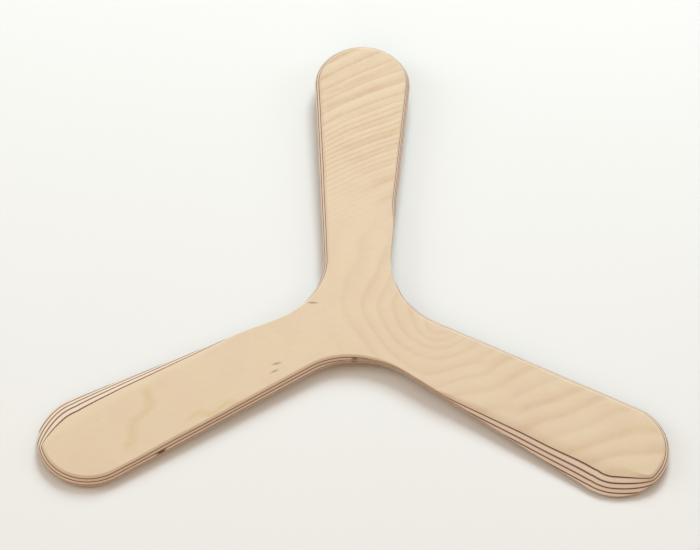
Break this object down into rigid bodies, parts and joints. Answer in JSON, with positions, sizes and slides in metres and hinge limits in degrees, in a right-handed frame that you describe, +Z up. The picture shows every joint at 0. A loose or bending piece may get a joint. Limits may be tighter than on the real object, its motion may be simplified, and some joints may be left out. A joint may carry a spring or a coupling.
{
  "type": "boomerang",
  "caption": "Flat three-armed returning throwing blade of plain plywood, rounded tips, rounded leading edges and long shaved trailing bevels that show the glued layers.",
  "frame": {"origin": "centre of the hub on the flat underside", "axes": "+Z up out of the upper face, +Y from the hub centre along one arm to its tip, +X across the other two arms"},
  "size_m": [0.2658, 0.2361, 0.004],
  "materials": {
    "face_birch": "bare, fine sanded",
    "cross_birch": "bare end grain, sanded",
    "core_birch": "bare, sanded",
    "back_birch": "bare, fine sanded",
    "glue_film": "cured resin, sanded flush"
  },
  "bodies": {
    "root": {"back_veneer": "back_birch", "lower_crossband": "cross_birch", "core_veneer": "core_birch", "upper_crossband": "cross_birch", "face_veneer": "face_birch", "glue_film_1": "glue_film", "glue_film_2": "glue_film", "glue_film_3": "glue_film", "glue_film_4": "glue_film"}
  },
  "joints": []
}
